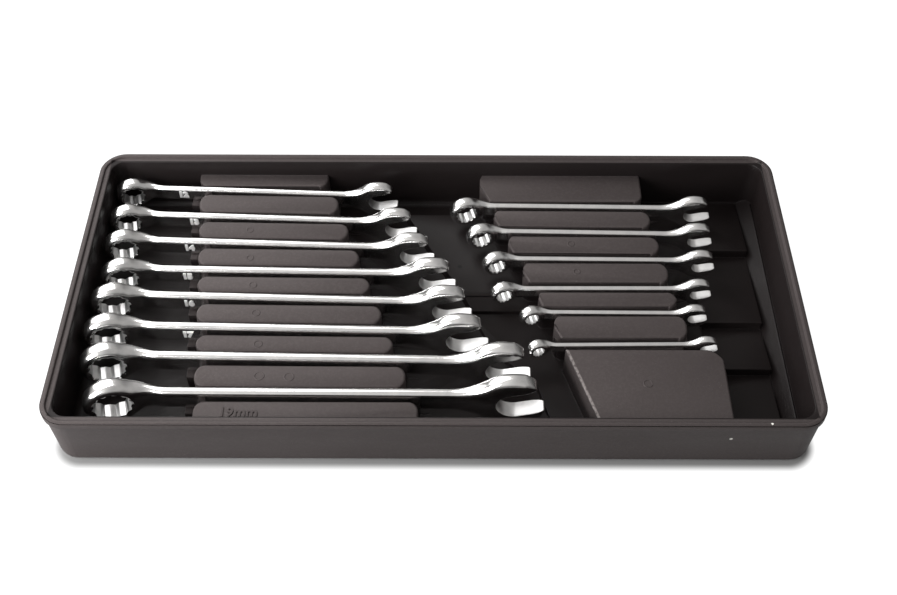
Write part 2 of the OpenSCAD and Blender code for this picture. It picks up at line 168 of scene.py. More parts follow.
# %% Finishes
class Finish:
    """The nodes of a material, or of the world, with the three coordinates at hand."""

    def __init__(self, block, coordinates="Object"):
        block.use_nodes = True
        self.block, self.tree = block, block.node_tree
        self.tree.nodes.clear()
        place = self.node("ShaderNodeTexCoord")
        self.coords = Value(self, place.outputs[coordinates])
        self.facing = Value(self, place.outputs["Normal"])
        self.x, self.y, self.z = self.parts(self.coords)

    def parts(self, vector):
        """The three numbers of a vector."""
        node = self.node("ShaderNodeSeparateXYZ", {}, {0: vector})
        return [Value(self, output) for output in node.outputs]

    def node(self, kind, settings=None, sockets=None):
        """Any node: its settings first, then the values or links of its sockets."""
        node = self.tree.nodes.new(kind)
        for key, value in (settings or {}).items():
            if key == "stops":
                ramp = node.color_ramp.elements
                while len(ramp) < len(value):
                    ramp.new(0.5)
                for element, (place, colour) in zip(ramp, value):
                    element.position, element.color = place, (*colour, 1)
            else:
                setattr(node, key, value)
        for key, value in (sockets or {}).items():
            if isinstance(value, Value):
                self.tree.links.new(value.socket, node.inputs[key])
            elif value is not None:
                node.inputs[key].default_value = value
        return node

    def noise(self, scale, detail=2.0, rough=0.5, coords=None):
        """Soft random patches, 1 / scale metres wide."""
        node = self.node("ShaderNodeTexNoise", {}, {
            "Vector": coords or self.coords, "Scale": scale, "Detail": detail, "Roughness": rough})
        return Value(self, node.outputs["Fac"])

    def stretched(self, scale):
        """Object coordinates stretched by a factor on each axis."""
        node = self.node("ShaderNodeMapping", {}, {"Vector": self.coords, "Scale": scale})
        return Value(self, node.outputs[0])

    def ramp(self, value, stops):
        """A colour for each value, blended between (place, colour) stops."""
        node = self.node("ShaderNodeValToRGB", {"stops": stops}, {0: value})
        return Value(self, node.outputs["Color"])

    def blend(self, mask, first, second):
        """The first colour where the mask is 0, the second where it is 1."""
        node = self.node("ShaderNodeMix", {"data_type": "RGBA"}, {0: mask})
        for index, colour in ((6, first), (7, second)):
            if isinstance(colour, Value):
                self.tree.links.new(colour.socket, node.inputs[index])
            else:
                node.inputs[index].default_value = (*colour, 1)
        return Value(self, node.outputs[2])

    def bump(self, height, distance, strength=1.0, under=None):
        """A normal tilted by the slope of a height, over another bump."""
        node = self.node("ShaderNodeBump", {}, {
            "Strength": strength, "Distance": distance, "Height": height, "Normal": under})
        return Value(self, node.outputs[0])

    def shader(self, kind, **sockets):
        """One shader, by its kind. Its sockets are named with underscores for spaces."""
        named = {key.replace("_", " "): value for key, value in sockets.items()}
        for key, value in named.items():
            if isinstance(value, tuple) and len(value) == 3:
                named[key] = (*value, 1)
        return Value(self, self.node("ShaderNode" + kind, {}, named).outputs[0])

    def mixed(self, mask, first, second):
        """The first shader where the mask is 0, the second where it is 1."""
        node = self.node("ShaderNodeMixShader", {}, {0: mask, 1: first, 2: second})
        return Value(self, node.outputs[0])

    def close(self, shader, output="ShaderNodeOutputMaterial"):
        """Ends the tree with a shader and gives back the material or world."""
        self.node(output, {}, {0: shader})
        print(self.block.name, "nodes", len(self.tree.nodes))
        return self.block


# %% [markdown]
# ## Charcoal plastic
# The tray is moulded in a brownish charcoal plastic. Its skin has a fine spark-eroded grain that breaks
# up highlights, finger wipes that change the gloss in broad soft patches, and a little pale dust. A
# painted highlight runs down the slanting top edge of the front right island, two pale specks sit on the
# front and a dark dot lies on the shelf. Marks at one place are masks made from the distance to a point or
# a line.

# %% Masks for places
def near_line(finish, start, end, width):
    """1 on the line between two points in the tray's plane seen from above, 0 beyond the width."""
    (x0, y0), (x1, y1) = start, end
    length = math.hypot(x1 - x0, y1 - y0)
    along = ((finish.x - x0) * ((x1 - x0) / length) + (finish.y - y0) * ((y1 - y0) / length)) / length
    across = (finish.x - x0) * (-(y1 - y0) / length) + (finish.y - y0) * ((x1 - x0) / length)
    inside = along.step(-0.02, 0.02) * along.step(1.02, 0.98)
    return across.abs().step(width, width * 0.3) * inside


def near_point(finish, centre, radius):
    """1 inside a small sphere, 0 outside it."""
    x, y, z = ((axis - place) for axis, place in zip((finish.x, finish.y, finish.z), centre))
    return ((x * x + y * y + z * z) ** 0.5).step(radius, radius * 0.6)


# %% [markdown]
# The plastic is two shaders in one material. The outside, the rim and the islands are grained and a
# little worn, which makes them greyer. The deep walls and wells are plainer, and their base colour is
# about four times darker, which is painted shade. A mask says which is where: beyond the inner walls,
# and high up among the islands, but not on the wall behind them, unless the face looks up.

# %% Patterns of the plastic
SOFT = 0.4 * MM
INNER_WALL_Y = 94.5 * MM
RIM_X, RIM_Y = 204.4 * MM, 96.4 * MM
AMONG_X, AMONG_Y = 164 * MM, 95.4 * MM
SHADE_TO_WORN_FROM, SHADE_TO_WORN_TO = 12 * MM, 22 * MM
plastic = Finish(bpy.data.materials.new("charcoal_moulded_plastic"))
grain = plastic.noise(2600, 2, 0.6)
pebble = plastic.noise(900, 1)
wipes = plastic.noise(14, 3, 0.6, plastic.stretched((0.6, 2.2, 2.2))).step(0.25, 0.75)
cloud = plastic.noise(9, 2)
mottle = plastic.noise(700, 3, 0.75).step(0.42, 0.66)
dust = plastic.noise(1500, 1).step(0.70, 0.76) * plastic.noise(60, 2).step(0.52, 0.75)
# A pale streak along the slanting top edge of the front right island: a painted highlight of that edge.
painted_edge_highlight = near_line(plastic, (0.0745, -0.0420), (0.0893, -0.0890), 0.0011) \
    * plastic.z.step(0.0262, 0.0270) * plastic.noise(420, 3, 0.7).step(0.28, 0.56)
specks = near_point(plastic, (0.1590, -0.1007, 0.0262), 0.0011).most(
    near_point(plastic, (0.1783, -0.1000, 0.0400), 0.0008))
dot = near_point(plastic, (0.0147, 0.0343, 0.0100), 0.0016)
looks_up = plastic.parts(plastic.facing)[2].step(0.70, 0.90)
off_wall = (plastic.y.abs() - INNER_WALL_Y).step(SOFT, -SOFT).most(looks_up)
among = plastic.x.abs().step(AMONG_X + 4 * MM, AMONG_X) * plastic.y.abs().step(AMONG_Y + SOFT, AMONG_Y)
beyond_wall = (plastic.x.abs() - RIM_X).most(plastic.y.abs() - RIM_Y).step(-SOFT, SOFT)
# Where this mask is 0, on the inner walls, in the wells at both ends and low down between the islands, the
# plastic takes the darker tone, which is painted shade.
worn_vs_painted_shade = (off_wall * among * plastic.z.step(SHADE_TO_WORN_FROM, SHADE_TO_WORN_TO)).most(beyond_wall)

# %% Moulded plastic
worn_tone_and_highlight = plastic.ramp(cloud, [(0.30, (0.040, 0.033, 0.033)), (0.70, (0.048, 0.040, 0.040))])
# The edge mask's pale colour is a painted highlight. The mottle, the dust and the specks are the plastic's
# own.
for mask, colour in ((mottle * 0.30, (0.075, 0.066, 0.064)), (dust * 0.45, (0.30, 0.28, 0.27)),
                     (painted_edge_highlight * 0.55, (0.34, 0.31, 0.30)), (specks, (0.86, 0.85, 0.80))):
    worn_tone_and_highlight = plastic.blend(mask, worn_tone_and_highlight, colour)
# This darker tone of the deep walls and wells is painted shade.
painted_shade_tone = plastic.ramp(cloud, [(0.30, (0.010, 0.0075, 0.0075)), (0.70, (0.014, 0.011, 0.011))])
relief = plastic.bump(grain * 0.6 + pebble * 0.4, 0.04 * MM)
grained = plastic.shader(
    "BsdfPrincipled",
    Base_Color=worn_tone_and_highlight,
    Roughness=wipes * 0.14 + grain * 0.06 + 0.42,
    Specular_IOR_Level=0.40,
    Specular_Tint=(1.0, 0.90, 0.88),
    Normal=relief)
plain = plastic.shader(
    "BsdfPrincipled",
    Base_Color=plastic.blend(dot, painted_shade_tone, (0.001, 0.001, 0.001)),
    Roughness=wipes * 0.12 + 0.34,
    Specular_IOR_Level=0.16,
    Normal=relief)
plastic_finish = plastic.close(plastic.mixed(worn_vs_painted_shade, plain, grained))

# %% [markdown]
# ## Chrome
# The spanners are drop forged, tumbled and plated. Plating follows the steel under it, so the broad
# faces wave a little and the reflections in them bend. A very weak bump on two scales does that without
# dulling the shine. The jaw faces and the ring's points are broached after forging, so they are duller
# and a little darker, and the size figures are etched almost matt, so that they stand out.

# %% Chrome plate
def chrome(name, roughness, wave, dark=0.80, light=0.88):
    """Plated steel of some roughness, with waves of a height in metres, between two greys."""
    finish = Finish(bpy.data.materials.new(name))
    swell = finish.noise(45, 2, 0.5, finish.stretched((0.35, 1, 1)))
    haze = finish.noise(180, 3, 0.6)
    fine = finish.noise(1400, 2, 0.6, finish.stretched((0.15, 1, 1)))
    return finish.close(finish.shader(
        "BsdfPrincipled",
        Base_Color=finish.ramp(haze, [(0.35, (dark,) * 3), (0.65, (light, light * 0.99, light * 0.98))]),
        Metallic=1.0,
        Roughness=haze.step(0.40, 0.75) * 0.05 + roughness,
        Normal=finish.bump(fine, 0.000004, 0.5, finish.bump(swell, wave, 1.0))))


chrome_finish = chrome("polished_chrome_plate", 0.17, 0.12 * MM)
broached_finish = chrome("broached_chrome_plate", 0.36, 0.10 * MM, 0.62, 0.72)
etched_finish = chrome("etched_figures", 0.70, 0.0)

# %% [markdown]
# ## The two rows of spanners
# Each row gives the size, the gap from the end wall, the shaft's line, the turn in the slot and the
# length, as the CAD model has them. The left group's rings stand by the left wall and grow towards the
# front, and the right group's jaws stand by the ramps and grow towards the back. The islands of the
# tray stand between the shafts, so their places follow from the same rows.

# %% Rows and islands
INNER_X, INNER_Y = 203.5, 95.5
AXIS_Z, ISLAND_TOP = 24.0, 28.0
LEFT_ROWS = [
    (12, 1.5, 81.5, 2.4, 178.5), (13, 1.5, 58.5, 2.2, 191), (14, 2, 37, 2, 201.5),
    (15, 4.5, 15, 1.1, 212), (16, 2, -6, 1.6, 224), (17, 2, -28.5, 1.2, 233.5),
    (18, 4.5, -49.5, 1, 254.5), (19, 11, -73.5, 0.3, 254.5)]
RIGHT_ROWS = [
    (11, 32, 69, 0.7, 163), (10, 33.5, 47.5, 1, 151.5), (9, 35, 26, 0.5, 140.5),
    (8, 40, 3.5, -0.2, 131), (7, 45, -14.5, 0.3, 109.5), (6, 42, -37.5, -0.7, 109)]


def islands():
    """Ends, edges and turn of each island, and the heights of the seats in front of and behind it. The
    ends move along by a few millimetres from island to island, as in the CAD model."""
    for rows, on_left in ((LEFT_ROWS, True), (RIGHT_ROWS, False)):
        for i in range(len(rows) + on_left):
            front = rows[i] if i < len(rows) else None
            back = rows[i - 1] if i else None
            y0 = front[2] + 0.1 * front[0] + 3 if front else -INNER_Y - 2
            y1 = back[2] - 0.1 * back[0] - 3 if back else INNER_Y + 2
            turn = (front[3] + back[3]) / 4 if front and back else 0
            x0, x1 = (-151 + 2.4 * i, -67.5 + 7.5 * i) if on_left else (27.5 + 8.2 * i, 130 + 3.1 * i)
            seats = [AXIS_Z - 0.325 * row[0] - 1.1 if row else None for row in (front, back)]
            yield x0, x1, y0, y1, turn, seats, on_left


print("spanners:", len(LEFT_ROWS) + len(RIGHT_ROWS), "islands beside them:", len(list(islands())))

# %% [markdown]
# ## The tray
# The CAD tray already has every wall, island, slot, seat and ramp in its true place, with crisp edges.
# A moulding has none. First each island gets its round ends: at every corner a cutter takes off what
# stands outside a cone, whose radius shrinks with height as the island's sides lean and its top edge
# is cut back. A cutter is a stack of four rings, each a quarter circle and the corner of a square.

# %% Turning in the plan
def turned(dx, dy, middle, degrees):
    """Places whose offsets from a middle are turned clockwise, seen from above."""
    a = -math.radians(degrees)
    return (middle[0] + dx * math.cos(a) - dy * math.sin(a),
            middle[1] + dx * math.sin(a) + dy * math.cos(a))


# %% Cutters for the islands' corners
CORNER_R, CORNER_STEPS = 6.6, 11
LEAN_FROM, CHAMFER_FROM = 3.0, 27.2


def corner_cutter(x, y, sx, sy, turn, middle, low):
    """The space outside a cone at one island corner, from a low height to above the top. At height z the
    cone's radius is CORNER_R less the lean of the sides there, and less again by the cut top edge."""
    wide = CORNER_R + 2
    quarter = np.linspace(0, math.pi / 2, CORNER_STEPS)
    quarter = np.stack([np.cos(quarter), np.sin(quarter)], 1)
    rings = []
    for z, back in ((low, (low - LEAN_FROM) / (CHAMFER_FROM - LEAN_FROM)), (CHAMFER_FROM, 1.0),
                    (ISLAND_TOP, 1.8), (ISLAND_TOP + 1, 2.8)):
        u, v = np.concatenate([(CORNER_R - back) * quarter, [(0, wide), (wide, wide), (wide, 0)]]).T
        rings.append(np.stack([x - sx * CORNER_R + sx * u, y - sy * CORNER_R + sy * v,
                               np.full(len(u), z)], 1))
    points = np.concatenate(rings)
    number = np.arange(len(points)).reshape(len(rings), -1)
    ahead = np.roll(number, -1, axis=1)
    sides = np.stack([number[:-1], ahead[:-1], ahead[1:], number[1:]], -1).reshape(-1, 4)
    faces = sides.tolist() + [number[0, ::-1].tolist(), number[-1].tolist()]
    if sx * sy > 0:
        faces = [face[::-1] for face in faces]
    points[:, 0], points[:, 1] = turned(points[:, 0] - middle[0], points[:, 1] - middle[1], middle, turn)
    return points * MM, faces


def island_cutters():
    """A cutter for each free corner. The right islands' left ends slant, and stay as they are."""
    for x0, x1, y0, y1, turn, seats, on_left in islands():
        middle = ((x0 + x1) / 2, (y0 + y1) / 2)
        for y, sy, seat in ((y0, -1, seats[0]), (y1, 1, seats[1])):
            if seat is None:
                continue
            if on_left:
                yield corner_cutter(x0, y, -1, sy, turn, middle, seat)
            yield corner_cutter(x1, y, 1, sy, turn, middle, seat)


cutters = list(island_cutters())
cutter_points, cutter_faces = join_meshes(cutters)
print("corner cutters:", len(cutters), "with", len(cutter_faces), "faces")

# %% [markdown]
# The CAD mesh is loose triangles, so a copy is welded first, because a Boolean modifier needs closed
# walls. The result is kept as a plain mesh, and then welded again with nearly flat faces merged: the
# bevel that comes last would otherwise follow every thin triangle.

# %% Welding and cutting
def welded(mesh, merge_deg=0.0):
    """Welds a mesh's loose triangles, and merges those that lie within an angle of one plane."""
    work = bmesh.new()
    work.from_mesh(mesh)
    loose = len(work.verts)
    bmesh.ops.remove_doubles(work, verts=work.verts, dist=2e-6)
    if merge_deg:
        bmesh.ops.dissolve_limit(work, angle_limit=math.radians(merge_deg),
                                 verts=work.verts, edges=work.edges)
    work.to_mesh(mesh)
    print(mesh.name, loose, "points welded to", len(work.verts), "in", len(work.faces), "faces")
    work.free()
    return mesh


def cut_away(mesh, points, faces):
    """The mesh less the space of the cutters, worked out once and kept as a plain mesh."""
    cutter = mesh_piece("cutter", points, faces)
    holder = bpy.data.objects.new("uncut", mesh)
    bpy.context.scene.collection.objects.link(holder)
    cut = holder.modifiers.new("corners", "BOOLEAN")
    cut.operation, cut.solver, cut.object = "DIFFERENCE", "EXACT", cutter
    cut.use_self = True
    result = as_mesh(holder)
    for spare in (holder, cutter):
        bpy.data.objects.remove(spare)
    return result


# %% [markdown]
# The real islands reach nearer to the shafts than the CAD ones, more so at the top. So the corners of
# their long sides are drawn outwards, in each island's own turned frame: those at the height of the
# seat beside it, and those of the chamfered top. The points in between hang on the same flat sides.

# %% Broader islands
TO_SHAFT, TO_SHAFT_TOP = 0.9, 1.5
SEAT_BAND, TOP_BAND, END_MARGIN, SIDE_MARGIN = 0.3, 0.7, 0.6, 0.3


def broadened(mesh):
    """Draws each island's long sides towards the shafts, by a share of its half width that grows in a
    straight line from the seat to the top."""
    places = np.zeros(len(mesh.vertices) * 3)
    mesh.vertices.foreach_get("co", places)
    places = places.reshape(-1, 3) / MM
    for x0, x1, y0, y1, turn, seats, _ in islands():
        middle, a = np.array([(x0 + x1) / 2, (y0 + y1) / 2]), -math.radians(turn)
        spin = np.array([[math.cos(a), math.sin(a)], [-math.sin(a), math.cos(a)]])
        along, across = spin @ (places[:, :2] - middle).T
        half = (y1 - y0) / 2
        for side, seat in ((-1, seats[0]), (1, seats[1])):
            if seat is None:
                continue
            z = places[:, 2]
            at_seat = np.abs(z - seat) < SEAT_BAND
            at_top = np.abs(z - (CHAMFER_FROM + ISLAND_TOP) / 2) < TOP_BAND
            chosen = (at_seat | at_top) & (np.abs(along) < (x1 - x0) / 2 + END_MARGIN) \
                & (side * across > 0) & (side * across < half + SIDE_MARGIN)
            more = (TO_SHAFT + (TO_SHAFT_TOP - TO_SHAFT) * (z - seat) / (ISLAND_TOP - seat)) / half
            across = np.where(chosen, across * (1 + more), across)
        places[:, :2] = (spin.T @ np.stack([along, across])).T + middle
    mesh.vertices.foreach_set("co", (places * MM).ravel())
    mesh.update()
    return mesh


# %% [markdown]
# Last, a Bevel modifier rounds every edge at which two faces meet at an angle, with two segments and
# normals that blend into the faces beside them.

# %% The moulded tray
EDGE_ROUND, EDGE_DEG, FLAT_DEG = 0.55 * MM, 28, 0.6
tray_mesh = welded(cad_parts["tray"].data.copy())
tray_mesh = welded(broadened(cut_away(tray_mesh, cutter_points, cutter_faces)), FLAT_DEG)
tray_mesh.polygons.foreach_set("use_smooth", np.ones(len(tray_mesh.polygons), bool))
tray = bpy.data.objects.new("moulded_tray", tray_mesh)
bpy.context.scene.collection.objects.link(tray)
round_edges = tray.modifiers.new("mould radius", "BEVEL")
round_edges.width = EDGE_ROUND
round_edges.segments = 2
round_edges.limit_method = "ANGLE"
round_edges.angle_limit = math.radians(EDGE_DEG)
round_edges.use_clamp_overlap = False
round_edges.harden_normals = True
register(tray, plastic_finish, "tray")

# %% [markdown]
# ## A spanner as a bent plate
# A forged spanner is one plate whose outline swells into a ring at one end and a head at the other, and
# whose thickness follows. So the whole tool is drawn as a flat outline first, in distances `u` along its
# length and `z` across it. The rim is rolled over in a few steps along the outline, the faces between
# are filled with triangles, and then the plate is bent: each point moves to its place on a middle curve
# that leans by 15 degrees through the ring and lies straight along the shaft.

# %% Proportions by size
RING_TURN, JAW_TURN = math.radians(15), math.radians(15)


class Sizes:
    """All lengths of a spanner of nominal size s, in millimetres, as the CAD model has them. The ring and
    the head have a radius _r and a thickness _t, and the shaft a half height. The jaws reach past the
    throat by jaw, the head's centre lies behind it by back, and the ring's off the shaft by shift."""

    def __init__(self, s, length):
        self.s, self.length = s, length
        self.ring_r = (1.5 * s + 2.6) / 2
        self.ring_t = 0.38 * s + 3.8
        self.head_r = (1.98 * s + 3.4) / 2 - 0.02  # a hair inside the CAD head
        self.head_t = 0.36 * s + 2.8
        self.half = (0.65 * s + 2.2) / 2
        self.shaft_t = 0.2 * s + 2
        self.mouth = s + 0.15
        self.jaw = 0.67 * s + 2.6
        self.back = 0.04 * s
        self.throat = length - self.ring_r - self.jaw * math.cos(JAW_TURN) - 0.75 * s * math.sin(JAW_TURN)
        self.shift = 0.13 * s


def arc(centre, radius, start, end, step=0.6):
    """Points on a circle from one angle to another, about a step apart."""
    count = max(4, int(abs(end - start) * radius / step))
    angles = np.linspace(start, end, count + 1)
    return np.stack([centre[0] + radius * np.cos(angles), centre[1] + radius * np.sin(angles)], 1)


def line(start, end, step=1.5):
    """Points on a straight line, without its two ends."""
    count = max(2, int(math.dist(start, end) / step))
    return np.linspace(start, end, count + 1)[1:-1]


# %% [markdown]
# The outline runs anticlockwise: along the shaft's lower edge, round the lower jaw, in and out of the
# mouth, back over the head, along the upper edge and round the ring. Every arc is tangent to the next.
# Each jaw tip has two corners: the one at the mouth is rounded by a small circle that touches both
# sides, and the outer one by a smooth bend, because forging leaves it round.

# %% Round corners
def rounded(points, radius, corner):
    """Replaces one sharp corner of a path by an arc that touches both its sides."""
    before, at, after = points[corner - 1], points[corner], points[(corner + 1) % len(points)]
    a, b = before - at, after - at
    a, b = a / np.linalg.norm(a), b / np.linalg.norm(b)
    half = math.acos(np.clip(a @ b, -1, 1)) / 2
    reach = radius / math.tan(half)
    centre = at + (a + b) / np.linalg.norm(a + b) * radius / math.sin(half)
    start, end = at + a * reach - centre, at + b * reach - centre
    a0, a1 = math.atan2(start[1], start[0]), math.atan2(end[1], end[0])
    turn = (a1 - a0 + math.pi) % (2 * math.pi) - math.pi
    angles = a0 + turn * np.linspace(0, 1, 6)
    return centre + radius * np.stack([np.cos(angles), np.sin(angles)], 1)


def bend_to(start, corner, end, count=9):
    """A smooth bend from start towards a corner and away to end, without its two ends."""
    t = np.linspace(0, 1, count + 2)[1:-1, None]
    return (1 - t) ** 2 * start + 2 * t * (1 - t) * corner + t ** 2 * end


def angle(v):
    """The direction of a vector."""
    return math.atan2(v[1], v[0])


# %% The outline
def outline(z):
    """Closed path of a spanner lying flat, how far each point is cut by a tool (1 in the mouth, 0.5 on
    the jaws' outer bends, 0 elsewhere), and where the necks at the ring and at the head begin."""
    blend_ring, blend_head = 1.8 * z.ring_r, 1.5 * z.head_r
    out = np.array([math.cos(JAW_TURN), math.sin(JAW_TURN)])
    up = np.array([-out[1], out[0]])
    throat = np.array([z.throat, 0.0])
    head = throat - z.back * out
    neck_ring = math.sqrt((z.ring_r + blend_ring) ** 2 - (z.half + blend_ring) ** 2)
    neck_low = np.array([0, -z.half - blend_head])
    neck_high = np.array([0, z.half + blend_head])
    for neck in (neck_low, neck_high):
        neck[0] = head[0] - math.sqrt((z.head_r + blend_head) ** 2 - (neck[1] - head[1]) ** 2)

    tip_half = math.sqrt(z.head_r ** 2 - (z.jaw + z.back) ** 2)
    tip_width = tip_half - z.mouth / 2
    tips = [throat + out * z.jaw + up * b for b in (-tip_half, -z.mouth / 2, z.mouth / 2, tip_half)]
    low_start = angle(neck_low - head)
    high_end = angle(neck_high - head)
    tip_low, tip_high = angle(tips[0] - head), angle(tips[3] - head)
    soft = 0.32 * z.s
    head_low = arc(head, z.head_r, low_start, tip_low - soft / z.head_r)
    head_high = arc(head, z.head_r, tip_high + soft / z.head_r, high_end)
    small = min(0.035 * z.s, 0.3 * tip_width)
    inner_low = rounded([tips[0], tips[1], throat - up * z.mouth / 2], small, 1)
    inner_high = rounded([throat + up * z.mouth / 2, tips[2], tips[3]], small, 1)
    corner_low = bend_to(head_low[-1], tips[0], inner_low[0])
    corner_high = bend_to(inner_high[-1], tips[3], head_high[0])
    jaws_low = line(inner_low[-1], throat - up * z.mouth / 2, 0.8)
    jaws_high = line(throat + up * z.mouth / 2, inner_high[0], 0.8)
    down = -math.pi / 2 + JAW_TURN
    throat_arc = arc(throat, z.mouth / 2, down, down - math.pi, 0.5)
    rise = math.atan2(z.half + blend_ring, neck_ring)
    pieces = [
        (line((neck_ring, -z.half), (neck_low[0], -z.half)), 0),
        (arc(neck_low, blend_head, math.pi / 2, angle(head - neck_low), 0.9), 0),
        (head_low[1:], 0), (corner_low, 0.5), (inner_low, 1), (jaws_low, 1), (throat_arc, 1),
        (jaws_high, 1), (inner_high, 1), (corner_high, 0.5), (head_high[:-1], 0),
        (arc(neck_high, blend_head, angle(head - neck_high), -math.pi / 2, 0.9), 0),
        (line((neck_high[0], z.half), (neck_ring, z.half)), 0),
        (arc((neck_ring, z.half + blend_ring), blend_ring, -math.pi / 2, -math.pi + rise, 0.9), 0),
        (arc((0, 0), z.ring_r, rise, 2 * math.pi - rise, 0.7)[1:-1], 0),
        (arc((neck_ring, -z.half - blend_ring), blend_ring, math.pi - rise, math.pi / 2, 0.9)[:-1], 0),
    ]
    path = np.concatenate([p for p, _ in pieces])
    worked = np.concatenate([np.full(len(p), w, float) for p, w in pieces])
    keep = np.linalg.norm(path - np.roll(path, 1, axis=0), axis=1) > 0.02
    return path[keep], worked[keep], neck_ring, neck_low[0]


print("points round the outline of a 19:", len(outline(Sizes(19, 254.5))[0]))


def inwards(path):
    """Unit normals of a closed anticlockwise path, pointing into it, averaged over both sides."""
    ahead = np.roll(path, -1, axis=0) - path
    ahead /= np.linalg.norm(ahead, axis=1)[:, None]
    normal = np.stack([-ahead[:, 1], ahead[:, 0]], 1)
    both = normal + np.roll(normal, 1, axis=0)
    both /= np.linalg.norm(both, axis=1)[:, None]
    lengthen = 1 / np.clip((both * normal).sum(1), 0.6, 1)
    return both * lengthen[:, None]


# %% [markdown]
# The flat plate is bent last, by moving each of its points. Its middle curve is known as a table of
# 1600 places, so a distance along it is looked up, and so are the curve's height and slope there.

# %% Bending the plate
def smooth(t):
    """0 below 0, 1 above 1, with a level start and end."""
    t = np.clip(t, 0, 1)
    return t * t * (3 - 2 * t)


def bent(z, u, w, across, neck_ring):
    """Places of plate points: u along, w through the thickness, across up. The middle curve is a straight
    line at the ring's lean up to the neck, then a cubic that meets the shaft's own line level."""
    lean = math.tan(RING_TURN)
    start = 0.86 * z.ring_r * math.cos(RING_TURN)
    end = neck_ring + 0.35 * z.ring_r
    xs = np.linspace(-1.2 * z.ring_r, z.length, 1600)
    t = np.clip((xs - start) / (end - start), 0, 1)
    y0 = -z.shift + lean * start
    cubic = (2 * t ** 3 - 3 * t ** 2 + 1) * y0 + (t ** 3 - 2 * t ** 2 + t) * (end - start) * lean
    ys = np.where(xs < start, -z.shift + lean * xs, np.where(xs > end, 0.0, cubic))
    steps = np.hypot(np.diff(xs), np.diff(ys))
    along = np.concatenate([[0], np.cumsum(steps)])
    along -= np.interp(0, xs, along)
    slope = np.gradient(ys, xs)
    # The outline is drawn in X, so past the neck a point keeps its X. In the ring it keeps its distance.
    shrink = np.interp(end, xs, along) - end
    u_curve = u + smooth((u - start) / (end - start)) * shrink
    x = np.interp(u_curve, along, xs)
    y = np.interp(u_curve, along, ys)
    m = np.interp(u_curve, along, slope)
    size = np.hypot(1, m)
    return np.stack([x - w * m / size, y + w / size, across], 1)


# %% [markdown]
# The ring's hole has twelve points: two hexagons turned by 30 degrees cross in a star of 24 corners, and
# a cone at each face opens it into a circle.

# %% The ring's hole
def star_hole(z, per_side=3):
    """The twelve-point hole: radius at each of its angles, for the points and for the face's circle."""
    outer, inner = z.mouth / 2 / math.cos(math.pi / 6), z.mouth / 2 / math.cos(math.pi / 12)
    corners = np.arange(24)
    radii = np.where(corners % 2 == 0, outer, inner)
    angles = corners * math.pi / 12
    corner = np.stack([radii * np.cos(angles), radii * np.sin(angles)], 1)
    share = (np.arange(per_side) / per_side)[None, :, None]
    star = (corner[:, None] * (1 - share) + np.roll(corner, -1, axis=0)[:, None] * share).reshape(-1, 2)
    turn = np.arctan2(star[:, 1], star[:, 0])
    rim = (outer + 0.025 * z.s) * np.stack([np.cos(turn), np.sin(turn)], 1)
    return star, rim


# %% [markdown]
# The flat faces between the outline and the hole are filled with triangles of even size. Blender's
# Delaunay function joins a staggered grid of points to the two loops, and what lies outside is dropped.

# %% Filling a face
def inside(points, loop):
    """Which points lie inside a closed loop: a ray from each crosses it an odd number of times."""
    a, b = loop, np.roll(loop, -1, axis=0)
    px, py = points[:, :1], points[:, 1:]
    crosses = (a[:, 1] > py) != (b[:, 1] > py)
    with np.errstate(divide="ignore", invalid="ignore"):
        at = a[:, 0] + (py - a[:, 1]) * (b[:, 0] - a[:, 0]) / (b[:, 1] - a[:, 1])
    return (crosses & (px < at)).sum(1) % 2 == 1


def face_triangles(border, hole, spacing):
    """A flat sheet of triangles between a border loop and a hole loop, with points in between. The
    border's points come first, then the hole's, then the filling ones."""
    low, high = border.min(0), border.max(0)
    grid = np.stack(np.meshgrid(np.arange(low[0], high[0], spacing),
                                np.arange(low[1], high[1], spacing)), -1).reshape(-1, 2)
    grid[:, 0] += (np.round((grid[:, 1] - low[1]) / spacing) % 2) * spacing / 2
    grid = grid[inside(grid, border) & ~inside(grid, hole)]
    fixed = np.concatenate([border, hole])
    near = ((fixed[:, 0] - grid[:, :1]) ** 2 + (fixed[:, 1] - grid[:, 1:]) ** 2).min(1)
    grid = grid[near > (0.45 * spacing) ** 2]
    points = np.concatenate([fixed, grid])
    n, m = len(border), len(hole)
    edges = [(i, (i + 1) % n) for i in range(n)] + [(n + i, n + (i + 1) % m) for i in range(m)]
    out = delaunay_2d_cdt([Vector(p) for p in points], edges, [], 0, 1e-7)
    if len(out[0]) != len(points):
        print("face: the outline crosses itself", len(out[0]), len(points))
    triangles = np.array(out[2])
    source = np.array([ids[0] for ids in out[3]])
    triangles = source[triangles]
    centre = points[triangles].mean(1)
    triangles = triangles[inside(centre, border) & ~inside(centre, hole)]
    a, b, c = (points[triangles[:, i]] for i in range(3))
    clockwise = (b - a)[:, 0] * (c - a)[:, 1] - (b - a)[:, 1] * (c - a)[:, 0] < 0
    triangles[clockwise] = triangles[clockwise][:, ::-1]
    return points, triangles


# %% [markdown]
# The rim rolls over in `ROLL` steps from the face to the middle of the edge: at step angle `a` a point
# lies `inset (1 - sin a)` inside the outline and `deep (1 - cos a)` below the face, a quarter of an
# ellipse. Round the ring the roll starts near the hole, so that the ring is domed. In the mouth it
# shrinks to a hair, because those faces are cut after forging. The jaws also thin out to their ends.

# %% Thickness and rolled rim
ROLL = 6
SOFTENED = 36


def smooth_head(z, u, neck_head):
    """0 along the shaft, 1 in the head."""
    return smooth((u - neck_head) / (z.throat - 0.55 * z.head_r - neck_head))


